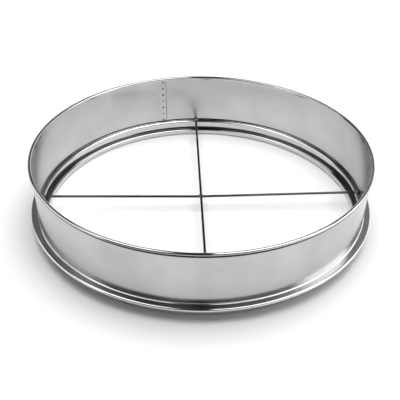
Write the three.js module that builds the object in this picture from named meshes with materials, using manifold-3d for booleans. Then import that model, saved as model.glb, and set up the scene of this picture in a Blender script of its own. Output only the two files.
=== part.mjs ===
// Round sieve frame in stainless sheet: a plain hoop with a curled top edge stands on a
// flanged foot ring, and two crossed round rods span the ring at the level of its seat.
// Units are millimetres, +Z is up, and the origin is under the middle of the foot ring.

import * as THREE from 'three';
import { mergeVertices } from 'three/addons/utils/BufferGeometryUtils.js';
import Module from 'manifold-3d';

const wasm = await Module();
wasm.setup();

// ---- driving dimensions -------------------------------------------------------------

const RIM_RADIUS = 200;        // outside of the curled top edge
const HEIGHT = 86;             // whole frame, foot to curl
const CURL_RADIUS = 2.1;       // half the thickness of the curled edge
const SHEET = 1;               // hoop wall thickness
const WALL_FOOT_INSET = 1;     // how much the hoop narrows towards its foot

const SEAT_HEIGHT = 19.5;      // top of the flange, where a screen would lie
const FLANGE_RADIUS = 204.2;   // outside of the flange's rolled edge
const FLANGE_ROLL = 1.9;       // half the thickness of that rolled edge
const FLANGE_FALL = 0.2;       // how far the flange slopes down from the ledge to that edge
const FOOT_SHEET = 1.2;        // foot ring thickness
const CORNER_RADIUS = 3;       // bend from the seat down into the skirt
const SKIRT_TOP_RADIUS = 190.3;   // inside of the skirt under the bend
const SKIRT_FOOT_RADIUS = 191.3;  // inside of the skirt at the hem

const HEM_RADIUS = 186.2;      // inside of the folded hem that the frame stands on
const HEM_HEIGHT = 7.2;
const HEM_ROUND = 1.6;         // rounding of the hem's upper edge
const HEM_FOOT_ROUND = 2.4;    // rounding of its lower edges
const HEM_FILLET = 1.5;        // hollow bend from the skirt onto the hem

const ROD_RADIUS = 1.5;
const ROD_HEIGHT = 19.4;       // middle of each rod's ends, half sunk in the seat
const ROD_DIP = 3.3;           // how far the cross rod bends down to pass below the other
const ROD_END_GAP = 0.4;       // between a rod's end and the hoop

const CROSS_WELD = [3.4, 3.4, 2.2];  // half sizes of the weld where the rods cross
const END_WELD = [2.4, 3.4, 2.6];    // half sizes of the weld over a rod's end
const END_WELD_INSET = 2.6;    // from the rod's end to the middle of that weld
const END_WELD_RISE = 0.4;     // how far that weld's middle stands over the rod's

const SEAM_AZIMUTH = 102.6;    // degrees from +X to the free edge of the lap seam
const SEAM_WIDTH = 10;
const SEAM_SHEET = 0.7;        // thickness of the overlap's strip

const GAP = 0.3;               // clearance between pieces that touch
const AROUND = 96;             // facets round the hoop
const ROD_SIDES = 16;
const ROD_STEPS = 16;
const WELD_SIDES = 20;
const WELD_RINGS = 12;

// ---- finishes -----------------------------------------------------------------------

const satinSheet = new THREE.MeshStandardMaterial({ color: 0xc4c6c8, roughness: 0.38, metalness: 1 });
const brightSheet = new THREE.MeshStandardMaterial({ color: 0xcfd1d3, roughness: 0.16, metalness: 1 });
const drawnRod = new THREE.MeshStandardMaterial({ color: 0xa9abad, roughness: 0.22, metalness: 1 });
const weldMetal = new THREE.MeshStandardMaterial({ color: 0x8d8a86, roughness: 0.5, metalness: 1 });

// ---- helpers ------------------------------------------------------------------------

const radians = THREE.MathUtils.degToRad;

// Points of an arc in the profile plane (x is the radius, y the height).
function arc(radius, height, bend, fromDegrees, toDegrees, steps) {
  const points = [];
  for (let i = 0; i <= steps; i += 1) {
    const angle = radians(fromDegrees + ((toDegrees - fromDegrees) * i) / steps);
    points.push(new THREE.Vector2(radius + bend * Math.cos(angle), height + bend * Math.sin(angle)));
  }
  return points;
}

// A closed profile turned round the frame's upright axis.
function turned(profile) {
  const geometry = new THREE.LatheGeometry([...profile, profile[0].clone()], AROUND);
  geometry.rotateX(Math.PI / 2);
  return geometry;
}

function toSolid(geometry) {
  const bare = geometry.clone();
  bare.deleteAttribute('normal');
  bare.deleteAttribute('uv');
  const merged = mergeVertices(bare, 1e-4);
  const mesh = new wasm.Mesh({
    numProp: 3,
    vertProperties: new Float32Array(merged.attributes.position.array),
    triVerts: new Uint32Array(merged.index.array),
  });
  mesh.merge();
  return new wasm.Manifold(mesh);
}

function toGeometry(solid) {
  const { vertProperties, triVerts } = solid.getMesh();
  const geometry = new THREE.BufferGeometry();
  geometry.setAttribute('position', new THREE.BufferAttribute(vertProperties, 3));
  geometry.setIndex(new THREE.BufferAttribute(triVerts, 1));
  geometry.computeVertexNormals();
  return geometry;
}

function part(name, geometry, material) {
  const mesh = new THREE.Mesh(geometry, material);
  mesh.name = name;
  return mesh;
}

// ---- hoop: straight sheet wall whose top edge is curled outwards --------------------

const curlMiddle = RIM_RADIUS - CURL_RADIUS;
const wallTopInside = RIM_RADIUS - 2 * CURL_RADIUS;
const wallFootInside = wallTopInside - WALL_FOOT_INSET;
const wallFoot = SEAT_HEIGHT + GAP;

function hoopProfile() {
  const curlHeight = HEIGHT - CURL_RADIUS;
  const wallMeetsCurl = THREE.MathUtils.radToDeg(
    Math.acos((curlMiddle - wallTopInside - SHEET) / CURL_RADIUS),
  );
  return [
    new THREE.Vector2(wallFootInside, wallFoot),
    new THREE.Vector2(wallFootInside + SHEET, wallFoot),
    ...arc(curlMiddle, curlHeight, CURL_RADIUS, 180 + wallMeetsCurl, 270, 1),
    ...arc(curlMiddle, curlHeight, CURL_RADIUS, 270, 540, 12).slice(1),
  ];
}

// ---- foot ring, in three bands: the seat with its bent corner, the rolled edge that ----
// ---- closes round the rim of a frame below, and the skirt with its hem --------------

const cornerMiddle = SKIRT_TOP_RADIUS + CORNER_RADIUS;
const cornerHeight = SEAT_HEIGHT - CORNER_RADIUS;
const flangeTop = SEAT_HEIGHT - FLANGE_FALL;
const seatOutside = FLANGE_RADIUS - 2 * FLANGE_ROLL - GAP;
const ledgeOutside = wallFootInside - GAP;

// The ledge inside the hoop is level, and the flange falls away from it outwards.
function seatProfile() {
  return [
    ...arc(cornerMiddle, cornerHeight, CORNER_RADIUS - FOOT_SHEET, 180, 90, 3),
    new THREE.Vector2(seatOutside, flangeTop - FOOT_SHEET),
    new THREE.Vector2(seatOutside, flangeTop),
    new THREE.Vector2(ledgeOutside, SEAT_HEIGHT),
    ...arc(cornerMiddle, cornerHeight, CORNER_RADIUS, 90, 180, 4),
  ];
}

function edgeProfile() {
  return arc(FLANGE_RADIUS - FLANGE_ROLL, flangeTop - FLANGE_ROLL, FLANGE_ROLL, 0, 330, 11);
}

function skirtProfile() {
  const outside = SKIRT_FOOT_RADIUS + FOOT_SHEET;
  const skirtTop = cornerHeight - GAP;
  return [
    ...arc(outside - HEM_FOOT_ROUND, HEM_FOOT_ROUND, HEM_FOOT_ROUND, -90, 0, 3),
    new THREE.Vector2(SKIRT_TOP_RADIUS + FOOT_SHEET, skirtTop),
    new THREE.Vector2(SKIRT_TOP_RADIUS, skirtTop),
    ...arc(SKIRT_FOOT_RADIUS - HEM_FILLET, HEM_HEIGHT + HEM_FILLET, HEM_FILLET, 0, -90, 2),
    ...arc(HEM_RADIUS + HEM_ROUND, HEM_HEIGHT - HEM_ROUND, HEM_ROUND, 90, 180, 3),
    ...arc(HEM_RADIUS + HEM_FOOT_ROUND, HEM_FOOT_ROUND, HEM_FOOT_ROUND, 180, 270, 3),
  ];
}

// ---- rods: one straight, one bent down a little in the middle to pass below it -------

const rodHalf = wallFootInside - ROD_END_GAP;

function rodGeometry(radius, halfLength, dip) {
  const geometry = new THREE.CylinderGeometry(radius, radius, 2 * halfLength, ROD_SIDES, ROD_STEPS);
  geometry.rotateZ(Math.PI / 2);
  geometry.rotateX(Math.PI / 2);
  const places = geometry.attributes.position;
  for (let i = 0; i < places.count; i += 1) {
    const along = Math.abs(places.getX(i)) / halfLength;
    places.setZ(i, places.getZ(i) + ROD_HEIGHT - dip * (1 - Math.min(along, 1)));
  }
  return geometry;
}

const quarterTurn = Math.PI / 2;
const straightRod = rodGeometry(ROD_RADIUS, rodHalf, 0).rotateZ(quarterTurn);
const bentRod = rodGeometry(ROD_RADIUS, rodHalf, ROD_DIP);
const straightRoom = toSolid(rodGeometry(ROD_RADIUS + GAP, rodHalf + GAP, 0).rotateZ(quarterTurn));
const bentRoom = toSolid(rodGeometry(ROD_RADIUS + GAP, rodHalf + GAP, ROD_DIP));
const rodRoom = straightRoom.add(bentRoom);

// ---- welds: one pad between the rods, and one cap over each rod's end ----------------

function weldBall(halfSizes, reach, height) {
  const geometry = new THREE.SphereGeometry(1, WELD_SIDES, WELD_RINGS);
  geometry.rotateX(Math.PI / 2);
  geometry.scale(...halfSizes);
  geometry.translate(reach, 0, height);
  return geometry;
}

const crossWeld = toSolid(weldBall(CROSS_WELD, 0, ROD_HEIGHT - ROD_DIP / 2)).subtract(rodRoom);

// What would sink below the seat is cut away with a block wider than the weld.
function endWeld(azimuth) {
  const reach = rodHalf - END_WELD_INSET;
  const cap = weldBall(END_WELD, reach, ROD_HEIGHT + END_WELD_RISE).rotateZ(radians(azimuth));
  const block = 4 * Math.max(...END_WELD);
  const floor = new THREE.BoxGeometry(block, block, block);
  floor.translate(reach, 0, SEAT_HEIGHT + GAP - block / 2);
  floor.rotateZ(radians(azimuth));
  return toSolid(cap).subtract(toSolid(floor)).subtract(rodRoom);
}

// ---- lap seam: the sheet's free edge, lying along the inside of the hoop -------------

function seamGeometry() {
  const low = wallFoot + GAP;
  const high = HEIGHT - 2 * CURL_RADIUS - GAP;
  const geometry = new THREE.BoxGeometry(SEAM_WIDTH, SEAM_SHEET, high - low, 4, 1, 1);
  const places = geometry.attributes.position;
  for (let i = 0; i < places.count; i += 1) {
    const height = places.getZ(i) + (low + high) / 2;
    const draft = (height - wallFoot) / (HEIGHT - CURL_RADIUS - wallFoot);
    const wall = wallFootInside + WALL_FOOT_INSET * draft;
    const radius = wall - GAP - SEAM_SHEET / 2 - places.getY(i);
    const angle = radians(SEAM_AZIMUTH) + (SEAM_WIDTH / 2 + places.getX(i)) / wall;
    places.setXYZ(i, radius * Math.cos(angle), radius * Math.sin(angle), height);
  }
  return geometry;
}

// ---- assembly -----------------------------------------------------------------------

const frame = new THREE.Group();
frame.add(part('hoop_wall', turned(hoopProfile()), satinSheet));
frame.add(part('seat_ring', toGeometry(toSolid(turned(seatProfile())).subtract(rodRoom)), brightSheet));
frame.add(part('flange_edge', turned(edgeProfile()), brightSheet));
frame.add(part('skirt', turned(skirtProfile()), brightSheet));
frame.add(part('rod_straight', straightRod, drawnRod));
frame.add(part('rod_bent', bentRod, drawnRod));
frame.add(part('rod_cross_weld', toGeometry(crossWeld), weldMetal));
for (const [side, azimuth] of [['right', 0], ['back', 90], ['left', 180], ['front', 270]]) {
  frame.add(part(`rod_end_weld_${side}`, toGeometry(endWeld(azimuth)), weldMetal));
}
frame.add(part('seam_lap', seamGeometry(), satinSheet));

export default frame;
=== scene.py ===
"""Round sieve frame in stainless sheet: a hoop with a curled top edge on a flanged foot
ring, a lap seam with its row of spot welds, and a welded cross of two round rods.

Lengths are in metres. +Z is up, and the origin is under the middle of the foot ring."""

import math

import bmesh
import bpy
from bpy.props import FloatProperty, FloatVectorProperty, IntProperty, PointerProperty
from mathutils import Matrix, Vector, noise


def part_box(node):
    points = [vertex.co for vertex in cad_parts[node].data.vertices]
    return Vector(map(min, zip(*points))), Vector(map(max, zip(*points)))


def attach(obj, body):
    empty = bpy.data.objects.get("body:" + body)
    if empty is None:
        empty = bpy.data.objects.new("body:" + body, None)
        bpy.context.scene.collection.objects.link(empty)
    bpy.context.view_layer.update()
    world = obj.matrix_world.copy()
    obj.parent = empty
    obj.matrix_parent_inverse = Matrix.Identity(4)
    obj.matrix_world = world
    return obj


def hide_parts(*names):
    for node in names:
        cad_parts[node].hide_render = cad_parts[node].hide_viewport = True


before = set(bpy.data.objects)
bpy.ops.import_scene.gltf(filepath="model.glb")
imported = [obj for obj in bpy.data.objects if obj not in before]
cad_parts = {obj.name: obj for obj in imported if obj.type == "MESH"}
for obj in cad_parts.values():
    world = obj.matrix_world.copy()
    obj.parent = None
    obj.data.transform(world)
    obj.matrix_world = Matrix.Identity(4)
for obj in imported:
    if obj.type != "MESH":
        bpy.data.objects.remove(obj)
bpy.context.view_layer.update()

bl_info = {
    "name": "Round sieve frame",
    "version": (1, 0, 0),
    "blender": (4, 5, 0),
    "location": "3D View > Sidebar > Sieve",
    "description": "Builds a round sieve frame in stainless sheet around its packed frame",
    "category": "Add Mesh",
}

MM = 0.001
BODY = "root"
TURN = 2 * math.pi


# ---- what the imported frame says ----


def far_corner(node):
    """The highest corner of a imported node."""
    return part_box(node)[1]


RIM_RADIUS = far_corner("hoop_wall").x
RIM_HEIGHT = far_corner("hoop_wall").z
WALL_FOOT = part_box("hoop_wall")[0].z
FLANGE_RADIUS = far_corner("flange_edge").x
SEAT_HEIGHT = far_corner("seat_ring").z
LAP_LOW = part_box("seam_lap")[0].z
LAP_HIGH = far_corner("seam_lap").z
ROD_REACH = far_corner("rod_bent").x
ROD_THICKNESS = far_corner("rod_straight").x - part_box("rod_straight")[0].x
ROD_LEVEL = far_corner("rod_straight").z - ROD_THICKNESS / 2
ROD_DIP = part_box("rod_straight")[0].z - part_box("rod_bent")[0].z


# ---- sizes and colours that a user would change ----


def linear(value):
    """An sRGB hex colour as linear red, green and blue."""
    parts = [int(value[i:i + 2], 16) / 255 for i in (1, 3, 5)]
    return tuple(c / 12.92 if c <= 0.04045 else ((c + 0.055) / 1.055) ** 2.4 for c in parts)


def length(name, description, millimetres):
    """A size that a user may change."""
    return FloatProperty(
        name=name, description=description, default=millimetres * MM,
        min=0.0, unit="LENGTH", precision=5,
    )


def colour(name, description, value):
    """A colour that a user may change."""
    return FloatVectorProperty(
        name=name, description=description, default=linear(value), size=3,
        subtype="COLOR", min=0.0, max=1.0,
    )


class SieveSizes(bpy.types.PropertyGroup):
    """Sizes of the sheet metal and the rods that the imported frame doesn't name."""

    around: IntProperty(
        name="Facets around", description="Facets round the hoop and the foot ring",
        default=384, min=24,
    )
    curl: length("Curled edge", "Thickness of the hoop's curled top edge", 4.2)
    sheet: length("Hoop sheet", "Thickness of the hoop's sheet", 1.0)
    draft: length("Hoop draft", "How much the hoop narrows towards its foot", 1.0)
    wave: length("Sheet wave", "How far the rolled sheet strays from a true circle", 0.12)
    foot_sheet: length("Foot sheet", "Thickness of the foot ring's sheet", 1.2)
    roll: length("Rolled edge", "Thickness of the flange's rolled edge", 3.8)
    corner: length("Seat corner", "Bend from the seat down into the skirt", 2.4)
    flange_fall: length("Flange fall", "How far the flange slopes down outwards", 0.2)
    ledge: length("Ledge", "From the hoop's foot to the bend down into the skirt", 2.1)
    skirt_draft: length("Skirt draft", "How much the skirt widens towards its hem", 1.0)
    hem_width: length("Hem width", "How far the folded hem reaches inwards", 6.3)
    hem_height: length("Hem height", "Height of the folded hem", 7.2)
    hem_round: length("Hem edge", "Rounding of the hem's upper edge", 1.6)
    hem_foot_round: length("Hem foot", "Rounding of the hem's lower edges", 2.4)
    hem_fillet: length("Hem bend", "Hollow bend from the skirt onto the hem", 1.5)
    fillet: length("Outer fillet", "Solder fillet round the outside of the hoop's foot", 1.1)
    inner_fillet: length("Inner fillet", "Solder fillet inside the hoop's foot", 0.35)
    solder_wave: length("Solder wave", "How uneven the solder fillets are", 0.08)
    rod_bend: length("Rod bend", "Radius of the bend in the middle of the lower rod", 30.0)
    seam_azimuth: FloatProperty(
        name="Seam azimuth", description="Where the lap seam's free edge stands, from +X",
        default=math.radians(102.6), subtype="ANGLE",
    )
    seam_width: length("Lap width", "Width of the seam's overlap", 10.0)
    lap_sheet: length("Lap step", "Thickness of the overlap behind its free edge", 0.65)
    weld_count: IntProperty(
        name="Spot welds", description="Number of spot welds up the seam", default=7, min=2,
    )
    lowest_weld: length("Lowest spot weld", "Height of the seam's lowest spot weld", 23.3)
    weld_pitch: length("Spot weld pitch", "Distance between the seam's spot welds", 9.6)
    weld_size: length("Spot weld size", "Diameter of a spot weld's mark", 3.0)


class SieveColours(bpy.types.PropertyGroup):
    """Base colours of the metals and of the floor."""

    satin: colour("Satin sheet", "Cold rolled stainless sheet", "#bcbdbe")
    bright: colour("Bright sheet", "Buffed stainless sheet", "#cfd0d0")
    rod: colour("Drawn rod", "Drawn stainless rod, heat darkened", "#5c5c5d")
    weld: colour("Weld", "Fused stainless", "#7d7c7b")
    floor: colour("Floor", "Plain pale floor", "#f4f4f4")


# ---- materials ----

# Crevices where painted shade darkens the metals' colour. Each edge of one says what is measured,
# where the painted shade starts, and where it is full.

# On the hoop's outside: the last 2.5 mm of the wall, and up the curl's lower side.
UNDER_CURL = (
    ("radius", RIM_RADIUS - 3.7 * MM, RIM_RADIUS - 3.4 * MM),
    ("height", RIM_HEIGHT - 7.0 * MM, RIM_HEIGHT - 6.4 * MM),
    ("height", RIM_HEIGHT - 1.6 * MM, RIM_HEIGHT - 2.1 * MM),
)
# The lowest 2 mm of the wall's inner face.
WALL_CORNER = (
    ("radius", RIM_RADIUS - 4.6 * MM, RIM_RADIUS - 4.8 * MM),
    ("height", WALL_FOOT + 2.3 * MM, WALL_FOOT + 1.7 * MM),
)
# The hollow bend from the skirt's inner face onto the hem.
HEM_BEND = (
    ("radius", RIM_RADIUS - 11.6 * MM, RIM_RADIUS - 11.0 * MM),
    ("radius", RIM_RADIUS - 8.0 * MM, RIM_RADIUS - 8.2 * MM),
    ("height", 6.4 * MM, 6.9 * MM),
    ("height", 9.9 * MM, 9.2 * MM),
)
# How much colour the painted shade takes away: under the curl and at the wall's foot, and in the
# hem's bend.
CURL_PAINTED_SHADE = 0.99
HEM_PAINTED_SHADE = 0.88


def fill(tree, node, inputs):
    """Fills a node's inputs. Each one is a value, or another node's socket."""
    for key, value in inputs.items():
        if isinstance(value, bpy.types.NodeSocket):
            tree.links.new(value, node.inputs[key])
        else:
            node.inputs[key].default_value = value


def add_node(tree, kind, settings=None, inputs=None):
    """Adds a node with its settings and its inputs."""
    node = tree.nodes.new(kind)
    for key, value in (settings or {}).items():
        setattr(node, key, value)
    fill(tree, node, inputs or {})
    return node


def new_metal(name, base, roughness):
    """A metal's material, its tree and its shader, with the constant values set."""
    material = bpy.data.materials.new(name)
    material.use_nodes = True
    tree = material.node_tree
    shader = tree.nodes["Principled BSDF"]
    fill(tree, shader, {"Metallic": 1.0, "Base Color": (*base, 1.0), "Roughness": roughness})
    material.diffuse_color = (*base, 1.0)
    return material, tree, shader


def finish_metal(tree, shader, base, rough, relief, strength, depth):
    """Joins a metal's colour, roughness and relief to its shader."""
    bump = add_node(
        tree, "ShaderNodeBump", None, {"Height": relief, "Strength": strength, "Distance": depth})
    fill(tree, shader, {"Base Color": base, "Roughness": rough, "Normal": bump.outputs["Normal"]})


def fine_lines(tree, place, along, across, detail, roughness=0.5):
    """Long thin streaks: noise drawn out by its scales along and across the lines."""
    drawn_out = add_node(
        tree, "ShaderNodeMapping", None, {"Vector": place, "Scale": (along, across, 1.0)})
    return add_node(
        tree, "ShaderNodeTexNoise", None,
        {"Vector": drawn_out.outputs["Vector"], "Scale": 1.0, "Detail": detail,
         "Roughness": roughness}).outputs["Fac"]


def uneven_gloss(tree, lines, depth, patches, start, end, glossy, dull):
    """Roughness that rises over the patches from glossy to dull, and wavers in the lines."""
    waver = add_node(
        tree, "ShaderNodeMapRange", None, {"Value": lines, "To Min": -depth, "To Max": depth})
    spread = add_node(
        tree, "ShaderNodeMapRange", None,
        {"Value": patches, "From Min": start, "From Max": end, "To Min": glossy, "To Max": dull})
    return add_node(
        tree, "ShaderNodeMath", {"operation": "ADD"},
        {0: waver.outputs["Result"], 1: spread.outputs["Result"]}).outputs[0]


def unshaded_share(tree, place, painted_shade_depth, *crevices):
    """1 on unshaded metal, less the share of painted shade in the crevices."""
    flat = add_node(
        tree, "ShaderNodeVectorMath", {"operation": "MULTIPLY"}, {0: place, 1: (1.0, 1.0, 0.0)})
    radius = add_node(
        tree, "ShaderNodeVectorMath", {"operation": "LENGTH"}, {0: flat.outputs["Vector"]})
    height = add_node(tree, "ShaderNodeSeparateXYZ", None, {"Vector": place})
    measured = {"radius": radius.outputs["Value"], "height": height.outputs["Z"]}
    unshaded = 1.0
    for edges in crevices:
        inside = 1.0
        for measure, start, full in edges:
            edge = add_node(
                tree, "ShaderNodeMapRange", None,
                {"Value": measured[measure], "From Min": start, "From Max": full})
            inside = add_node(
                tree, "ShaderNodeMath", {"operation": "MULTIPLY"},
                {0: inside, 1: edge.outputs["Result"]}).outputs[0]
        left = add_node(
            tree, "ShaderNodeMath", {"operation": "MULTIPLY_ADD"}, {0: inside, 1: -painted_shade_depth, 2: 1.0})
        unshaded = add_node(
            tree, "ShaderNodeMath", {"operation": "MULTIPLY"},
            {0: unshaded, 1: left.outputs[0]}).outputs[0]
    return unshaded


def satin_sheet(base):
    """Cold rolled (2B) stainless sheet. Rolling leaves it evenly dull, so it mirrors what
    is near and blurs what is far, with faint lines along the sheet and soft wiped patches."""
    material, tree, shader = new_metal("Stainless sheet, cold rolled satin", base, 0.24)
    place = add_node(tree, "ShaderNodeTexCoord").outputs["Object"]
    along = add_node(tree, "ShaderNodeUVMap", {"uv_map": "sheet"}).outputs["UV"]
    # Rolling lines: 60 mm long and 0.5 mm apart, about ten times the real ones, to show.
    lines = fine_lines(tree, along, 1 / 0.060, 1 / 0.0005, 3.0, 0.6)
    # Wiped patches, 30 to 60 mm across.
    patches = add_node(
        tree, "ShaderNodeTexNoise", None,
        {"Vector": place, "Scale": 22.0, "Detail": 4.0, "Roughness": 0.55}).outputs["Fac"]
    patch_tone = add_node(
        tree, "ShaderNodeMapRange", None,
        {"Value": patches, "From Min": 0.32, "From Max": 0.68, "To Min": 0.88, "To Max": 1.06})
    tone = add_node(
        tree, "ShaderNodeVectorMath", {"operation": "SCALE"},
        {0: base, "Scale": patch_tone.outputs["Result"]})
    # Painted shade: the base colour is darkened under the curl and at the foot of the wall's
    # inner face.
    with_painted_shade = add_node(
        tree, "ShaderNodeVectorMath", {"operation": "SCALE"},
        {0: tone.outputs["Vector"],
         "Scale": unshaded_share(tree, place, CURL_PAINTED_SHADE, UNDER_CURL, WALL_CORNER)})
    rough = uneven_gloss(tree, lines, 0.02, patches, 0.3, 0.7, 0.18, 0.26)
    # The curling rollers burnish the edge, from 4.5 mm below its top upwards.
    height = add_node(tree, "ShaderNodeSeparateXYZ", None, {"Vector": place}).outputs["Z"]
    burnish = add_node(
        tree, "ShaderNodeMapRange", None,
        {"Value": height, "From Min": RIM_HEIGHT - 5.0 * MM, "From Max": RIM_HEIGHT - 4.0 * MM,
         "To Min": 1.0, "To Max": 0.35})
    burnished = add_node(
        tree, "ShaderNodeMath", {"operation": "MULTIPLY"},
        {0: rough, 1: burnish.outputs["Result"]})
    finish_metal(
        tree, shader, with_painted_shade.outputs["Vector"], burnished.outputs[0], lines, 0.12, 0.02 * MM)
    return material


def bright_sheet(base):
    """Stainless sheet buffed after forming. It mirrors sharply, with fine buffing lines
    that follow the ring and a little haze where the wheel passed less often."""
    material, tree, shader = new_metal("Stainless sheet, buffed bright", base, 0.1)
    place = add_node(tree, "ShaderNodeTexCoord").outputs["Object"]
    along = add_node(tree, "ShaderNodeUVMap", {"uv_map": "sheet"}).outputs["UV"]
    # Buffing lines: 25 mm long and 0.3 mm apart.
    lines = fine_lines(tree, along, 1 / 0.025, 1 / 0.0003, 2.0)
    # Haze in patches about 30 mm across.
    haze = add_node(
        tree, "ShaderNodeTexNoise", None,
        {"Vector": place, "Scale": 30.0, "Detail": 3.0}).outputs["Fac"]
    # Painted shade: the base colour is darkened in the hollow bend from the skirt onto the hem.
    with_painted_shade = add_node(
        tree, "ShaderNodeVectorMath", {"operation": "SCALE"},
        {0: base, "Scale": unshaded_share(tree, place, HEM_PAINTED_SHADE, HEM_BEND)})
    rough = uneven_gloss(tree, lines, 0.015, haze, 0.35, 0.65, 0.07, 0.13)
    finish_metal(tree, shader, with_painted_shade.outputs["Vector"], rough, lines, 0.1, 0.01 * MM)
    return material


def drawn_rod(base):
    """Drawn stainless rod, darkened by the welder's heat. The die leaves long fine lines
    along the rod, so its highlight is a narrow streak with slightly broken edges."""
    material, tree, shader = new_metal("Stainless rod, drawn and heat darkened", base, 0.16)
    along = add_node(tree, "ShaderNodeAttribute", {"attribute_name": "along"}).outputs["Fac"]
    turn = add_node(tree, "ShaderNodeAttribute", {"attribute_name": "turn"}).outputs["Fac"]
    place = add_node(tree, "ShaderNodeCombineXYZ", None, {"X": along, "Y": turn})
    # Draw lines: 40 mm long, 24 round the rod.
    lines = fine_lines(tree, place.outputs["Vector"], 1 / 0.040, 24.0, 3.0)
    rough = add_node(
        tree, "ShaderNodeMapRange", None, {"Value": lines, "To Min": 0.10, "To Max": 0.24})
    finish_metal(tree, shader, (*base, 1.0), rough.outputs["Result"], lines, 0.25, 0.03 * MM)
    return material


def weld_metal(base):
    """Fused stainless, left as welded. It is duller and darker than the sheet, with a
    finely rippled skin and patches of grey heat scale."""
    material, tree, shader = new_metal("Stainless weld, as fused", base, 0.36)
    place = add_node(tree, "ShaderNodeTexCoord").outputs["Object"]
    # Ripples 0.8 mm apart, and scale in patches of about 2 mm.
    ripples = add_node(
        tree, "ShaderNodeTexNoise", None, {"Vector": place, "Scale": 1250.0, "Detail": 2.0})
    scale = add_node(
        tree, "ShaderNodeTexNoise", None,
        {"Vector": place, "Scale": 450.0, "Detail": 4.0}).outputs["Fac"]
    scale_tone = add_node(
        tree, "ShaderNodeMapRange", None, {"Value": scale, "To Min": 0.6, "To Max": 1.15})
    tone = add_node(
        tree, "ShaderNodeVectorMath", {"operation": "SCALE"},
        {0: base, "Scale": scale_tone.outputs["Result"]})
    rough = add_node(
        tree, "ShaderNodeMapRange", None, {"Value": scale, "To Min": 0.5, "To Max": 0.25})
    finish_metal(
        tree, shader, tone.outputs["Vector"], rough.outputs["Result"], ripples.outputs["Fac"],
        0.5, 0.1 * MM)
    return material


def pale_floor(base):
    """Matt painted board: an even pale surface with the faintest change of tone."""
    material = bpy.data.materials.new("Floor board, matt white paint")
    material.use_nodes = True
    tree = material.node_tree
    shader = tree.nodes["Principled BSDF"]
    place = add_node(tree, "ShaderNodeTexCoord").outputs["Object"]
    patches = add_node(
        tree, "ShaderNodeTexNoise", None, {"Vector": place, "Scale": 3.0, "Detail": 2.0})
    tone = add_node(
        tree, "ShaderNodeMapRange", None,
        {"Value": patches.outputs["Fac"], "To Min": 0.99, "To Max": 1.01})
    shade = add_node(
        tree, "ShaderNodeVectorMath", {"operation": "SCALE"},
        {0: base, "Scale": tone.outputs["Result"]})
    fill(tree, shader, {
        "Base Color": shade.outputs["Vector"], "Roughness": 0.85, "Specular IOR Level": 0.2})
    return material


METALS = {
    "satin_sheet": (satin_sheet, "satin"),
    "bright_sheet": (bright_sheet, "bright"),
    "drawn_rod": (drawn_rod, "rod"),
    "weld_metal": (weld_metal, "weld"),
}
MADE = {}


def shared(maker, *values):
    """What a maker makes, which is made once and then shared."""
    if maker not in MADE:
        MADE[maker] = maker(*values)
    return MADE[maker]


def metal(slot):
    """The metal of a slot, in the user's colour."""
    maker, field = METALS[slot]
    return shared(maker, tuple(getattr(bpy.context.scene.sieve_colours, field)))


# ---- profiles: radius and height of each point, outside going up ----

EDGE_MARGIN = 0.2 * MM   # from a stretch's end to its next point
FOOT_MARGIN = 0.15 * MM  # from the foot of the wall's inner face to the next point
SINK = 0.1 * MM          # how deep solder and overlap reach into the sheet they lie on


def arc(radius, height, bend, start, end, steps):
    """Points of an arc in the profile, from one angle in degrees to another."""
    points = []
    for step in range(steps + 1):
        angle = math.radians(start + (end - start) * step / steps)
        points.append((radius + bend * math.cos(angle), height + bend * math.sin(angle)))
    return points


def run(start, end, rows):
    """Points along a straight stretch, crowded at its ends so that shading stays flat."""
    margin = EDGE_MARGIN / math.dist(start, end)
    shares = [margin] + [step / rows for step in range(1, rows)] + [1 - margin]
    return [tuple(a + (b - a) * share for a, b in zip(start, end)) for share in shares]


def hoop_profile(sizes):
    """The hoop's wall and its curled top edge."""
    bend = sizes.curl / 2
    middle = RIM_RADIUS - bend
    inside_top = RIM_RADIUS - sizes.curl
    inside_foot = inside_top - sizes.draft
    tuck = math.degrees(math.acos((middle - inside_top - sizes.sheet) / bend))
    curl = arc(middle, RIM_HEIGHT - bend, bend, 180 + tuck, 540, 36)
    return [
        (inside_foot, WALL_FOOT),
        (inside_foot + sizes.sheet, WALL_FOOT),
        *run((inside_foot + sizes.sheet, WALL_FOOT), curl[0], 24),
        *curl,
        *run(curl[-1], (inside_foot, WALL_FOOT + FOOT_MARGIN), 24),
        (inside_foot, WALL_FOOT),
    ]


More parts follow.
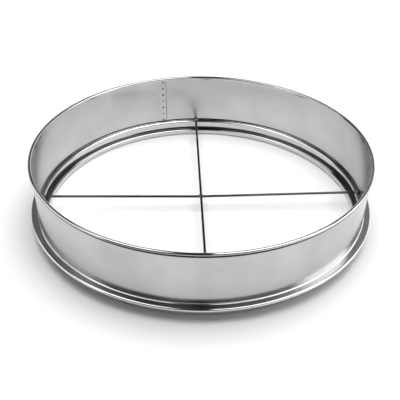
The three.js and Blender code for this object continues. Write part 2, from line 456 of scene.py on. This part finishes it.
def foot_profile(sizes):
    """The foot ring: skirt, flange with its rolled edge, seat and folded hem."""
    sheet = sizes.foot_sheet
    roll = sizes.roll / 2
    flange_top = SEAT_HEIGHT - sizes.flange_fall
    ledge_end = RIM_RADIUS - sizes.curl - sizes.draft
    corner_middle = ledge_end - sizes.ledge
    corner_height = SEAT_HEIGHT - sizes.corner
    skirt_foot = corner_middle - sizes.corner + sizes.skirt_draft
    hem_inside = skirt_foot + sheet - sizes.hem_width
    foot = sizes.hem_foot_round
    outer_foot = arc(skirt_foot + sheet - foot, foot, foot, -90, 0, 10)
    under_corner = arc(corner_middle, corner_height, sizes.corner - sheet, 180, 90, 6)
    roll_start = 180 - math.degrees(math.asin((roll - sheet) / roll))
    rolled_edge = arc(FLANGE_RADIUS - roll, flange_top - roll, roll, roll_start, 450, 30)
    corner = arc(corner_middle, corner_height, sizes.corner, 90, 180, 12)
    hollow = arc(
        skirt_foot - sizes.hem_fillet, sizes.hem_height + sizes.hem_fillet, sizes.hem_fillet,
        0, -90, 8)
    hem_edge = arc(
        hem_inside + sizes.hem_round, sizes.hem_height - sizes.hem_round, sizes.hem_round,
        90, 180, 8)
    inner_foot = arc(hem_inside + foot, foot, foot, 180, 270, 10)
    return [
        *outer_foot,
        *run(outer_foot[-1], under_corner[0], 8),
        *under_corner,
        *run(under_corner[-1], rolled_edge[0], 4),
        *rolled_edge,
        *run(rolled_edge[-1], (ledge_end, SEAT_HEIGHT), 6),
        (ledge_end, SEAT_HEIGHT),
        *run((ledge_end, SEAT_HEIGHT), corner[0], 2),
        *corner,
        *run(corner[-1], hollow[0], 6),
        *hollow,
        *run(hollow[-1], hem_edge[0], 3),
        *hem_edge,
        *run(hem_edge[-1], inner_foot[0], 3),
        *inner_foot,
        *run(inner_foot[-1], outer_foot[0], 2),
        outer_foot[0],
    ]


def joint_profile(sizes):
    """The fillets inside and outside the hoop's foot, as one band under the wall."""
    inside = RIM_RADIUS - sizes.curl - sizes.draft
    outside = inside + sizes.sheet
    outer, inner = sizes.fillet, sizes.inner_fillet
    return [
        (inside - inner, SEAT_HEIGHT - SINK),
        (outside + outer, SEAT_HEIGHT - SINK),
        *arc(outside + outer, SEAT_HEIGHT + outer, outer, 270, 180, 8),
        (outside - SINK, SEAT_HEIGHT + outer + SINK),
        (inside + SINK, SEAT_HEIGHT + inner + SINK),
        *arc(inside - inner, SEAT_HEIGHT + inner, inner, 0, -90, 8),
        (inside - inner, SEAT_HEIGHT - SINK),
    ]


# ---- Geometry Nodes ----

MERGE_REACH = 0.01 * MM
BEND_STEPS = 12
BAR_RINGS = 97
WELD_SIZES = (0.85, 1.1)  # smallest and largest spot weld, as a share of the mark's size


def new_tree(name, inputs):
    """A Geometry Nodes tree with its group nodes and named inputs (name, socket type)."""
    tree = bpy.data.node_groups.new(name, "GeometryNodeTree")
    tree.interface.new_socket("Geometry", in_out="INPUT", socket_type="NodeSocketGeometry")
    for label, kind in inputs:
        tree.interface.new_socket(label, in_out="INPUT", socket_type=kind)
    tree.interface.new_socket("Geometry", in_out="OUTPUT", socket_type="NodeSocketGeometry")
    entry = tree.nodes.new("NodeGroupInput")
    leave = tree.nodes.new("NodeGroupOutput")
    return tree, entry.outputs, leave


def finish_tree(tree, given, leave, geometry):
    """Every tree ends alike: smooth, instances made real, material set."""
    smooth = add_node(tree, "GeometryNodeSetShadeSmooth", None, {"Geometry": geometry})
    real = add_node(
        tree, "GeometryNodeRealizeInstances", None, {"Geometry": smooth.outputs["Geometry"]})
    painted = add_node(
        tree, "GeometryNodeSetMaterial", None,
        {"Geometry": real.outputs["Geometry"], "Material": given["Material"]})
    tree.links.new(painted.outputs["Geometry"], leave.inputs["Geometry"])
    return tree


def turned_sheet_tree():
    """Sweeps the incoming profile, a chain of points, once round the upright axis."""
    tree, given, leave = new_tree("Turned sheet", [
        ("Facets around", "NodeSocketInt"),
        ("Start azimuth", "NodeSocketFloat"),
        ("Wave", "NodeSocketFloat"),
        ("Waves per metre", "NodeSocketFloat"),
        ("Seed", "NodeSocketFloat"),
        ("Reference radius", "NodeSocketFloat"),
        ("Material", "NodeSocketMaterial"),
    ])
    # A flat grid, with one column for each facet and one row for each point of the profile.
    count = add_node(
        tree, "GeometryNodeAttributeDomainSize", {"component": "MESH"},
        {"Geometry": given["Geometry"]}).outputs["Point Count"]
    columns = add_node(
        tree, "ShaderNodeMath", {"operation": "ADD"}, {0: given["Facets around"], 1: 1.0})
    grid = add_node(
        tree, "GeometryNodeMeshGrid", None,
        {"Size X": 1.0, "Size Y": 1.0, "Vertices X": columns.outputs[0], "Vertices Y": count})
    position = add_node(tree, "GeometryNodeInputPosition").outputs["Position"]
    from_corner = add_node(
        tree, "ShaderNodeVectorMath", {"operation": "ADD"}, {0: position, 1: (0.5, 0.5, 0.0)})
    share = add_node(
        tree, "ShaderNodeSeparateXYZ", None, {"Vector": from_corner.outputs["Vector"]}).outputs
    last = add_node(tree, "ShaderNodeMath", {"operation": "SUBTRACT"}, {0: count, 1: 1.0})
    climb = add_node(
        tree, "ShaderNodeMath", {"operation": "MULTIPLY"}, {0: share["Y"], 1: last.outputs[0]})
    row = add_node(tree, "ShaderNodeMath", {"operation": "ROUND"}, {0: climb.outputs[0]})
    # The profile's point for that row, and the length travelled along the profile to it.
    point = add_node(
        tree, "GeometryNodeSampleIndex", {"data_type": "FLOAT_VECTOR", "domain": "POINT"},
        {"Geometry": given["Geometry"], "Index": row.outputs[0], "Value": position})
    section = add_node(tree, "ShaderNodeSeparateXYZ", None, {"Vector": point.outputs["Value"]})
    walked = add_node(
        tree, "GeometryNodeInputNamedAttribute", {"data_type": "FLOAT"}, {"Name": "travelled"})
    travelled = add_node(
        tree, "GeometryNodeSampleIndex", {"data_type": "FLOAT", "domain": "POINT"},
        {"Geometry": given["Geometry"], "Index": row.outputs[0],
         "Value": walked.outputs["Attribute"]})
    # Which way the facet's edge faces from the axis.
    turn = add_node(
        tree, "ShaderNodeMath", {"operation": "MULTIPLY"}, {0: share["X"], 1: TURN})
    angle = add_node(
        tree, "ShaderNodeMath", {"operation": "ADD"},
        {0: turn.outputs[0], 1: given["Start azimuth"]})
    outwards = add_node(
        tree, "ShaderNodeVectorRotate", {"rotation_type": "Z_AXIS"},
        {"Vector": (1.0, 0.0, 0.0), "Angle": angle.outputs[0]})
    up = add_node(tree, "ShaderNodeCombineXYZ", None, {"Z": section.outputs["Z"]})
    # The sheet strays a little from a true circle.
    spot = add_node(
        tree, "ShaderNodeVectorMath", {"operation": "MULTIPLY_ADD"},
        {0: outwards.outputs["Vector"], 1: given["Reference radius"], 2: up.outputs["Vector"]})
    stray = add_node(
        tree, "ShaderNodeTexNoise", {"noise_dimensions": "4D"},
        {"Vector": spot.outputs["Vector"], "W": given["Seed"], "Scale": given["Waves per metre"],
         "Detail": 1.0})
    lean = add_node(
        tree, "ShaderNodeMath", {"operation": "SUBTRACT"}, {0: stray.outputs["Fac"], 1: 0.5})
    radius = add_node(
        tree, "ShaderNodeMath", {"operation": "MULTIPLY_ADD"},
        {0: lean.outputs[0], 1: given["Wave"], 2: section.outputs["X"]})
    bent = add_node(
        tree, "ShaderNodeVectorMath", {"operation": "MULTIPLY_ADD"},
        {0: outwards.outputs["Vector"], 1: radius.outputs[0], 2: up.outputs["Vector"]})
    # The UV map lays the sheet out flat, in metres.
    round_ring = add_node(
        tree, "ShaderNodeMath", {"operation": "MULTIPLY"},
        {0: turn.outputs[0], 1: given["Reference radius"]})
    flat = add_node(
        tree, "ShaderNodeCombineXYZ", None,
        {"X": round_ring.outputs[0], "Y": travelled.outputs["Value"]})
    marked = add_node(
        tree, "GeometryNodeStoreNamedAttribute", {"data_type": "FLOAT2", "domain": "CORNER"},
        {"Geometry": grid.outputs["Mesh"], "Name": "sheet", "Value": flat.outputs["Vector"]})
    swept = add_node(
        tree, "GeometryNodeSetPosition", None,
        {"Geometry": marked.outputs["Geometry"], "Position": bent.outputs["Vector"]})
    closed = add_node(
        tree, "GeometryNodeMergeByDistance", None,
        {"Geometry": swept.outputs["Geometry"], "Distance": MERGE_REACH})
    return finish_tree(tree, given, leave, closed.outputs["Geometry"])


def round_bar_tree():
    """Bends the incoming chain of points smoothly and sweeps a round section along it."""
    tree, given, leave = new_tree("Round bar", [
        ("Radius", "NodeSocketFloat"),
        ("Bend radius", "NodeSocketFloat"),
        ("Sides", "NodeSocketInt"),
        ("Material", "NodeSocketMaterial"),
    ])
    path = add_node(tree, "GeometryNodeMeshToCurve", None, {"Mesh": given["Geometry"]})
    bent = add_node(
        tree, "GeometryNodeFilletCurve", {"mode": "POLY"},
        {"Curve": path.outputs["Curve"], "Radius": given["Bend radius"], "Limit Radius": True,
         "Count": BEND_STEPS})
    fine = add_node(
        tree, "GeometryNodeResampleCurve", None,
        {"Curve": bent.outputs["Curve"], "Count": BAR_RINGS})
    walked = add_node(
        tree, "GeometryNodeStoreNamedAttribute", {"data_type": "FLOAT", "domain": "POINT"},
        {"Geometry": fine.outputs["Curve"], "Name": "along",
         "Value": add_node(tree, "GeometryNodeSplineParameter").outputs["Length"]})
    ring = add_node(
        tree, "GeometryNodeCurvePrimitiveCircle", None,
        {"Radius": given["Radius"], "Resolution": given["Sides"]})
    section = add_node(
        tree, "GeometryNodeStoreNamedAttribute", {"data_type": "FLOAT", "domain": "POINT"},
        {"Geometry": ring.outputs["Curve"], "Name": "turn",
         "Value": add_node(tree, "GeometryNodeSplineParameter").outputs["Factor"]})
    bar = add_node(
        tree, "GeometryNodeCurveToMesh", None,
        {"Curve": walked.outputs["Geometry"], "Profile Curve": section.outputs["Geometry"],
         "Fill Caps": True})
    return finish_tree(tree, given, leave, bar.outputs["Mesh"])


def weld_row_tree():
    """Repeats the incoming weld mark up a line, each one placed and sized a little apart."""
    tree, given, leave = new_tree("Row of spot welds", [
        ("Count", "NodeSocketInt"),
        ("Step", "NodeSocketVector"),
        ("Foot", "NodeSocketVector"),
        ("Facing", "NodeSocketFloat"),
        ("Drift", "NodeSocketFloat"),
        ("Seed", "NodeSocketInt"),
        ("Material", "NodeSocketMaterial"),
    ])
    line = add_node(
        tree, "GeometryNodeMeshLine", None,
        {"Count": given["Count"], "Start Location": given["Foot"], "Offset": given["Step"]})
    # The row wanders less along the wall than up and down.
    drift = add_node(
        tree, "ShaderNodeVectorMath", {"operation": "SCALE"},
        {0: (0.4, 0.0, 1.0), "Scale": given["Drift"]})
    back = add_node(
        tree, "ShaderNodeVectorMath", {"operation": "SCALE"},
        {0: drift.outputs["Vector"], "Scale": -1.0})
    stray = add_node(
        tree, "FunctionNodeRandomValue", {"data_type": "FLOAT_VECTOR"},
        {0: back.outputs["Vector"], 1: drift.outputs["Vector"], "Seed": given["Seed"]})
    loose = add_node(
        tree, "GeometryNodeSetPosition", None,
        {"Geometry": line.outputs["Mesh"], "Offset": stray.outputs[0]})
    size = add_node(
        tree, "FunctionNodeRandomValue", {"data_type": "FLOAT"},
        {2: WELD_SIZES[0], 3: WELD_SIZES[1], "Seed": given["Seed"]})
    facing = add_node(tree, "ShaderNodeCombineXYZ", None, {"Z": given["Facing"]})
    marks = add_node(
        tree, "GeometryNodeInstanceOnPoints", None,
        {"Points": loose.outputs["Geometry"], "Instance": given["Geometry"],
         "Rotation": facing.outputs["Vector"], "Scale": size.outputs[1]})
    return finish_tree(tree, given, leave, marks.outputs["Instances"])


def chain_mesh(name, points):
    """A chain of points as a mesh of edges, with the length travelled at each point."""
    mesh = bpy.data.meshes.new(name)
    mesh.from_pydata(points, [(i, i + 1) for i in range(len(points) - 1)], [])
    travelled = mesh.attributes.new("travelled", "FLOAT", "POINT")
    total = 0.0
    for index, point in enumerate(points):
        if index:
            total += math.dist(points[index - 1], point)
        travelled.data[index].value = total
    return mesh


def grown(name, mesh, tree, values):
    """Runs a tree on a mesh and returns the result as a plain mesh object."""
    source = bpy.data.objects.new(name + "_source", mesh)
    bpy.context.scene.collection.objects.link(source)
    modifier = source.modifiers.new("Grow", "NODES")
    modifier.node_group = tree
    for item in tree.interface.items_tree:
        if item.item_type == "SOCKET" and item.in_out == "INPUT" and item.name in values:
            modifier[item.identifier] = values[item.name]
    evaluated = source.evaluated_get(bpy.context.evaluated_depsgraph_get())
    result = bpy.data.meshes.new_from_object(evaluated)
    source.modifiers.clear()
    bpy.data.objects.remove(source)
    piece = bpy.data.objects.new(name, result)
    result.name = name
    bpy.context.scene.collection.objects.link(piece)
    return piece


def turned(name, profile, slot, wave, waves_per_metre, seed):
    """A piece of sheet turned round the upright axis."""
    sizes = bpy.context.scene.sieve_sizes
    chain = chain_mesh(name + "_profile", [(radius, 0.0, height) for radius, height in profile])
    return grown(
        name, chain, shared(turned_sheet_tree),
        {"Facets around": sizes.around, "Start azimuth": sizes.seam_azimuth,
         "Wave": wave, "Waves per metre": waves_per_metre, "Seed": seed,
         "Reference radius": RIM_RADIUS, "Material": metal(slot)})


def bar(name, path, slot, radius, bend, sides):
    """A round bar that follows a path of points."""
    return grown(
        name, chain_mesh(name + "_path", path), shared(round_bar_tree),
        {"Radius": radius, "Bend radius": bend, "Sides": sides, "Material": metal(slot)})


# ---- placing pieces ----


def settle(piece, slot, *replaced):
    """A finished piece rides on the frame's one body and takes its slot's finish."""
    material = metal(slot)
    if not piece.data.materials:
        piece.data.materials.append(material)
    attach(piece, BODY)
    if replaced:
        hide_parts(*replaced)


def bmesh_piece(name, build):
    """A piece whose mesh a function fills in."""
    mesh = bpy.data.meshes.new(name)
    shape = bmesh.new()
    build(shape)
    bmesh.ops.remove_doubles(shape, verts=shape.verts, dist=0.001 * MM)
    bmesh.ops.recalc_face_normals(shape, faces=shape.faces)
    shape.to_mesh(mesh)
    shape.free()
    mesh.shade_smooth()
    piece = bpy.data.objects.new(name, mesh)
    bpy.context.scene.collection.objects.link(piece)
    return piece


def polar(radius, azimuth, height):
    """A place given by its distance from the axis, its azimuth and its height."""
    return Vector((radius * math.cos(azimuth), radius * math.sin(azimuth), height))


def wall_inside(sizes, height):
    """Radius of the hoop's inner face at a height."""
    rise = (height - WALL_FOOT) / (RIM_HEIGHT - sizes.curl / 2 - WALL_FOOT)
    return RIM_RADIUS - sizes.curl - sizes.draft * (1.0 - rise)


def blob(name, middle, half_sizes, azimuth, seed, unevenness=0.12):
    """A fused weld: a ball of the given half sizes with an uneven, softly lumpy skin."""
    turn = Matrix.Rotation(azimuth, 3, "Z")
    sizes = Vector(half_sizes)
    lump_pitch, fine_pitch, fine_share = 1.7, 4.5, 0.4

    def build(shape):
        bmesh.ops.create_icosphere(shape, subdivisions=4, radius=1.0)
        for vertex in shape.verts:
            lump = noise.noise(vertex.co * lump_pitch + Vector((seed, 0.0, 0.0)))
            fine = noise.noise(vertex.co * fine_pitch + Vector((0.0, seed, 0.0)))
            swell = 1.0 + unevenness * (lump + fine_share * fine)
            vertex.co = turn @ (vertex.co * swell * sizes) + Vector(middle)

    return bmesh_piece(name, build)


# ---- pieces ----

SHEET_WAVES = 14.0        # slow waves of the rolled sheet, per metre
SOLDER_WAVES = 90.0       # short waves of the solder fillets, per metre
BAR_SIDES = 32
LINE_SIDES = 12

CROSS_WELD = (2.5 * MM, 2.6 * MM, 2.2 * MM)   # half sizes of the weld where the rods cross
END_WELD = (2.4 * MM, 3.1 * MM, 2.2 * MM)     # half sizes of the weld at a rod's end
END_WELD_INSET = 1.9 * MM                     # from the rod's end to that weld's middle
END_WELD_RISE = 0.3 * MM                      # how far its middle stands over the rod's

CURL_JOINT = (2.3 * MM, 1.3 * MM, 2.3 * MM)   # half sizes of the joint in the curled edge
CURL_JOINT_DEPTH = 2.45 * MM                  # from the rim's top down to its middle
CURL_JOINT_UNEVENNESS = 0.04

LAP_COLUMNS, LAP_ROWS = 24, 48
LAP_ROUNDING = 0.04       # share of the overlap's width that its free edge rounds over
LAP_PUCKER = 0.06 * MM    # how far the overlap stands off unevenly
PUCKERS = (3.0, 90.0)     # its waves across the overlap, and per metre up it
FEATHERING = 0.7          # below 1, the overlap keeps its thickness towards its far side
EDGE_LINE_RADIUS = 0.42 * MM
EDGE_LINE_PROUD = 0.15 * MM   # from the wall to the middle of that line

WELD_LEAN = math.radians(1.25)   # from the overlap's free edge to its row of spot welds
WELD_FACE = 0.42 * MM            # from the wall to the middle of a spot weld's mark
WELD_SWELL = 0.16 * MM           # half the thickness of that mark
WELD_DRIFT = 0.25 * MM           # how far the marks stray from their row


class SIEVE_OT_hoop(bpy.types.Operator):
    """Add the hoop with its curled top edge"""

    bl_idname = "sieve.hoop"
    bl_label = "Hoop"

    def execute(self, context):
        sizes = context.scene.sieve_sizes
        piece = turned(
            "hoop", hoop_profile(sizes), "satin_sheet", sizes.wave, SHEET_WAVES, 3.0)
        settle(piece, "satin_sheet", "hoop_wall")
        return {"FINISHED"}


class SIEVE_OT_foot_ring(bpy.types.Operator):
    """Add the foot ring: rolled flange, seat, skirt and hem"""

    bl_idname = "sieve.foot_ring"
    bl_label = "Foot ring"

    def execute(self, context):
        profile = foot_profile(context.scene.sieve_sizes)
        piece = turned("foot_ring", profile, "bright_sheet", 0.0, SHEET_WAVES, 5.0)
        settle(piece, "bright_sheet", "seat_ring", "flange_edge", "skirt")
        return {"FINISHED"}


class SIEVE_OT_foot_joint(bpy.types.Operator):
    """Add the soldered fillets round the hoop's foot"""

    bl_idname = "sieve.foot_joint"
    bl_label = "Foot joint"

    def execute(self, context):
        sizes = context.scene.sieve_sizes
        piece = turned(
            "foot_joint", joint_profile(sizes), "bright_sheet", sizes.solder_wave,
            SOLDER_WAVES, 8.0)
        settle(piece, "bright_sheet")
        return {"FINISHED"}


class SIEVE_OT_rods(bpy.types.Operator):
    """Add the crossed rods"""

    bl_idname = "sieve.rods"
    bl_label = "Crossed rods"

    def execute(self, context):
        bend = context.scene.sieve_sizes.rod_bend
        reach, level = ROD_REACH, ROD_LEVEL
        paths = {
            "rod_straight": [(0, -reach, level), (0, 0, level), (0, reach, level)],
            "rod_bent": [(-reach, 0, level), (0, 0, level - ROD_DIP), (reach, 0, level)],
        }
        for name, path in paths.items():
            piece = bar(name + "_bar", path, "drawn_rod", ROD_THICKNESS / 2, bend, BAR_SIDES)
            settle(piece, "drawn_rod", name)
        return {"FINISHED"}


class SIEVE_OT_welds(bpy.types.Operator):
    """Add the weld where the rods cross and the welds that hold their ends"""

    bl_idname = "sieve.welds"
    bl_label = "Rod welds"

    def execute(self, context):
        cross = blob(
            "cross_weld", (0.0, 0.0, ROD_LEVEL - ROD_DIP / 2), CROSS_WELD, 0.0, 1.0)
        settle(cross, "weld_metal", "rod_cross_weld")
        for turn, side in enumerate(("right", "back", "left", "front")):
            azimuth = turn * TURN / 4
            middle = polar(ROD_REACH - END_WELD_INSET, azimuth, ROD_LEVEL + END_WELD_RISE)
            weld = blob("end_weld_" + side, middle, END_WELD, azimuth, 2.0 + turn)
            settle(weld, "weld_metal", "rod_end_weld_" + side)
        return {"FINISHED"}


class SIEVE_OT_seam(bpy.types.Operator):
    """Add the lap seam: the overlapping edge, its spot welds and the joint in the curl"""

    bl_idname = "sieve.seam"
    bl_label = "Lap seam"

    def execute(self, context):
        sizes = context.scene.sieve_sizes
        lap = bmesh_piece("seam_overlap", lambda shape: self.build_lap(shape, sizes))
        settle(lap, "satin_sheet", "seam_lap")
        settle(self.edge_line(sizes), "weld_metal")
        settle(self.spot_welds(sizes), "weld_metal")
        middle = polar(
            RIM_RADIUS - sizes.curl / 2, sizes.seam_azimuth, RIM_HEIGHT - CURL_JOINT_DEPTH)
        joint = blob(
            "curl_joint", middle, CURL_JOINT, sizes.seam_azimuth, 9.0, CURL_JOINT_UNEVENNESS)
        settle(joint, "bright_sheet")
        return {"FINISHED"}

    def build_lap(self, shape, sizes):
        """A strip against the hoop's inside, thick at its free edge and feathered out."""

        def point(column, row, inner):
            share = column / LAP_COLUMNS
            height = LAP_LOW + (LAP_HIGH - LAP_LOW) * row / LAP_ROWS
            spot = Vector((share * PUCKERS[0], height * PUCKERS[1], 4.0))
            pucker = LAP_PUCKER * noise.noise(spot)
            proud = self.lap_thickness(sizes, share) + pucker if inner else -SINK
            azimuth = sizes.seam_azimuth + share * sizes.seam_width / RIM_RADIUS
            return shape.verts.new(polar(wall_inside(sizes, height) - proud, azimuth, height))

        sheets = [
            [[point(c, r, inner) for r in range(LAP_ROWS + 1)] for c in range(LAP_COLUMNS + 1)]
            for inner in (False, True)]
        for sheet in sheets:
            for c in range(LAP_COLUMNS):
                for r in range(LAP_ROWS):
                    shape.faces.new(
                        (sheet[c][r], sheet[c + 1][r], sheet[c + 1][r + 1], sheet[c][r + 1]))
        outline = (
            [(c, 0) for c in range(LAP_COLUMNS)]
            + [(LAP_COLUMNS, r) for r in range(LAP_ROWS)]
            + [(c, LAP_ROWS) for c in range(LAP_COLUMNS, 0, -1)]
            + [(0, r) for r in range(LAP_ROWS, 0, -1)])
        for here, after in zip(outline, outline[1:] + outline[:1]):
            shape.faces.new([
                sheets[side][c][r]
                for side, (c, r) in ((0, here), (0, after), (1, after), (1, here))])

    def lap_thickness(self, sizes, share):
        """Thickness of the overlap, from its free edge at 0 to where it feathers out at 1."""
        rounding = min(1.0, share / LAP_ROUNDING)
        feathered = (1.0 - share) ** FEATHERING
        return sizes.lap_sheet * math.sqrt(rounding * (2.0 - rounding)) * feathered

    def edge_line(self, sizes):
        """The dark line of weld and scale that runs down the overlap's free edge."""
        path = [
            tuple(polar(wall_inside(sizes, z) - EDGE_LINE_PROUD, sizes.seam_azimuth, z))
            for z in (LAP_LOW, (LAP_LOW + LAP_HIGH) / 2, LAP_HIGH)]
        return bar("seam_edge_line", path, "weld_metal", EDGE_LINE_RADIUS, 0.0, LINE_SIDES)

    def spot_welds(self, sizes):
        """The row of round marks that the spot welder left on the overlap."""
        mark = bpy.data.meshes.new("spot_weld_mark")
        shape = bmesh.new()
        bmesh.ops.create_uvsphere(shape, u_segments=20, v_segments=10, radius=1.0)
        radius = sizes.weld_size / 2
        bmesh.ops.scale(shape, vec=(WELD_SWELL, radius, radius), verts=shape.verts)
        shape.to_mesh(mark)
        shape.free()
        azimuth = sizes.seam_azimuth + WELD_LEAN
        steps = sizes.weld_count - 1
        foot, top = (
            polar(wall_inside(sizes, height) - WELD_FACE, azimuth, height)
            for height in (sizes.lowest_weld, sizes.lowest_weld + sizes.weld_pitch * steps))
        return grown(
            "spot_welds", mark, shared(weld_row_tree),
            {"Count": sizes.weld_count, "Step": (top - foot) / steps, "Foot": foot,
             "Facing": azimuth, "Drift": WELD_DRIFT, "Seed": 4,
             "Material": metal("weld_metal")})


# ---- stage ----

# Strength of the surround that the metals mirror.
SKY_HORIZON = 1.5
SKY_ABOVE = 0.03
SKY_SIDE_GLOW = 0.14
SKY_LEAN = (1.0, 0.2, 0.0)   # how much stronger it is to the right and to the back
HORIZON_BAND = (0.10, 0.26)  # the heights between which it turns dim
SIDE_BAND = (0.04, 0.22)     # how far sideways the glow starts, and where it is full
BACKDROP = 0.95              # strength of what shows past the floor's edge

FLOOR_RADIUS = 6.0

DOWN = (0.0, 0.0, -1.0)
RIGHT = (1.0, 0.0, 0.0)
LEFT = (-1.0, 0.0, 0.0)

# Two softboxes overhead with a dark gap between them over the ring's middle, a panel on
# each side, and a wide fill. Each has its name, place, size, power in watts, the way it
# faces, and whether it is mirrored in the metals or lights what is matt.
LIGHTS = (
    ("left_softbox", (-0.65, -0.1, 1.2), (0.84, 0.9), 6.5, DOWN, True),
    ("right_softbox", (0.6, -0.1, 1.2), (1.03, 0.9), 10.0, DOWN, True),
    ("left_panel", (-1.3, 0.0, 0.62), (1.6, 0.6), 7.0, RIGHT, True),
    ("right_panel", (1.3, -0.1, 0.75), (1.2, 0.7), 7.0, LEFT, True),
    ("fill", (0.3, 0.3, 4.0), (4.2, 4.2), 228.0, DOWN, False),
)


class SIEVE_OT_stage(bpy.types.Operator):
    """Add the floor, the soft lights and the camera"""

    bl_idname = "sieve.stage"
    bl_label = "Stage"

    def execute(self, context):
        add_floor(context.scene.sieve_colours.floor)
        add_sky()
        for light in LIGHTS:
            add_softbox(*light)
        add_camera()
        return {"FINISHED"}


def add_floor(base):
    """A wide round board under the ring."""
    floor = bmesh_piece("floor", lambda shape: bmesh.ops.create_circle(
        shape, cap_ends=True, radius=FLOOR_RADIUS, segments=96))
    floor.data.materials.append(pale_floor(tuple(base)))


def add_sky():
    """A studio's surround: pale at the horizon, brightest at the back and on the right,
    and dim above, where no softbox hangs."""
    world = bpy.data.worlds.new("Studio surround")
    world.use_nodes = True
    tree = world.node_tree
    way = add_node(tree, "ShaderNodeTexCoord").outputs["Generated"]
    axes = add_node(tree, "ShaderNodeSeparateXYZ", None, {"Vector": way}).outputs
    lean = add_node(
        tree, "ShaderNodeVectorMath", {"operation": "DOT_PRODUCT"}, {0: way, 1: SKY_LEAN})
    side = add_node(
        tree, "ShaderNodeMath", {"operation": "ADD"}, {0: lean.outputs["Value"], 1: 1.0})
    rise = add_node(
        tree, "ShaderNodeMapRange", {"interpolation_type": "SMOOTHSTEP"},
        {"Value": axes["Z"], "From Min": HORIZON_BAND[0], "From Max": HORIZON_BAND[1],
         "To Min": SKY_HORIZON, "To Max": SKY_ABOVE})
    sideways = add_node(tree, "ShaderNodeMath", {"operation": "ABSOLUTE"}, {0: axes["X"]})
    glow = add_node(
        tree, "ShaderNodeMapRange", None,
        {"Value": sideways.outputs[0], "From Min": SIDE_BAND[0], "From Max": SIDE_BAND[1],
         "To Min": 0.0, "To Max": SKY_SIDE_GLOW})
    level = add_node(
        tree, "ShaderNodeMath", {"operation": "ADD"},
        {0: rise.outputs["Result"], 1: glow.outputs["Result"]})
    strength = add_node(
        tree, "ShaderNodeMath", {"operation": "MULTIPLY"},
        {0: level.outputs[0], 1: side.outputs[0]})
    # What shows past the floor's edge is a plain pale backdrop, which lights nothing.
    seen = add_node(tree, "ShaderNodeLightPath").outputs["Is Camera Ray"]
    shown = add_node(
        tree, "ShaderNodeMix", {"data_type": "FLOAT"},
        {"Factor": seen, "A": strength.outputs[0], "B": BACKDROP})
    fill(tree, tree.nodes["Background"], {
        "Color": (1.0, 1.0, 1.0, 1.0), "Strength": shown.outputs["Result"]})
    bpy.context.scene.world = world


def add_softbox(name, place, size, power, facing, mirrored):
    """A rectangular soft light that faces one way. It is either mirrored in the metals, or
    it lights what is matt."""
    data = bpy.data.lights.new(name, "AREA")
    data.shape = "RECTANGLE"
    data.size, data.size_y = size
    data.energy = power
    light = bpy.data.objects.new(name, data)
    light.location = place
    light.rotation_euler = Vector(facing).to_track_quat("-Z", "Y").to_euler()
    light.visible_glossy = mirrored
    light.visible_diffuse = not mirrored
    bpy.context.scene.collection.objects.link(light)


def add_camera():
    """Looks down on the ring from the front, a little to the left of its rods."""
    aim = Vector((-0.0011, 0.0, 0.0108))
    distance = 0.8533
    elevation = math.radians(34.44)
    azimuth = math.radians(-2.46)
    lean = math.radians(0.594)
    reach = distance * math.cos(elevation)
    offset = Vector((
        reach * math.sin(azimuth), -reach * math.cos(azimuth), distance * math.sin(elevation)))
    data = bpy.data.cameras.new("camera")
    data.sensor_width = 36.0
    data.lens = 62.26
    data.clip_end = 50.0
    camera = bpy.data.objects.new("camera", data)
    turn = (-offset).to_track_quat("-Z", "Y").to_matrix() @ Matrix.Rotation(lean, 3, "Z")
    camera.matrix_world = Matrix.Translation(aim + offset) @ turn.to_4x4()
    bpy.context.scene.collection.objects.link(camera)
    bpy.context.scene.camera = camera


# ---- panel and registration ----


class SIEVE_PT_panel(bpy.types.Panel):
    """Buttons for the frame's pieces, with their sizes and colours"""

    bl_idname = "SIEVE_PT_panel"
    bl_label = "Round sieve frame"
    bl_space_type = "VIEW_3D"
    bl_region_type = "UI"
    bl_category = "Sieve"

    def draw(self, context):
        for operator in STEPS:
            self.layout.operator(operator.bl_idname)
        for group in (context.scene.sieve_sizes, context.scene.sieve_colours):
            column = self.layout.column(align=True)
            for field in group.bl_rna.properties:
                if field.identifier not in ("name", "rna_type"):
                    column.prop(group, field.identifier)


STEPS = (
    SIEVE_OT_hoop,
    SIEVE_OT_foot_ring,
    SIEVE_OT_foot_joint,
    SIEVE_OT_rods,
    SIEVE_OT_welds,
    SIEVE_OT_seam,
    SIEVE_OT_stage,
)
CLASSES = (SieveSizes, SieveColours, *STEPS, SIEVE_PT_panel)


def register():
    for item in CLASSES:
        bpy.utils.register_class(item)
    bpy.types.Scene.sieve_sizes = PointerProperty(type=SieveSizes)
    bpy.types.Scene.sieve_colours = PointerProperty(type=SieveColours)


def unregister():
    del bpy.types.Scene.sieve_colours
    del bpy.types.Scene.sieve_sizes
    for item in reversed(CLASSES):
        bpy.utils.unregister_class(item)


def main():
    """Makes the whole scene."""
    register()
    bpy.context.scene.view_settings.view_transform = "Standard"
    for step in STEPS:
        group, name = step.bl_idname.split(".")
        getattr(getattr(bpy.ops, group), name)()


if __name__ == "__main__":
    main()
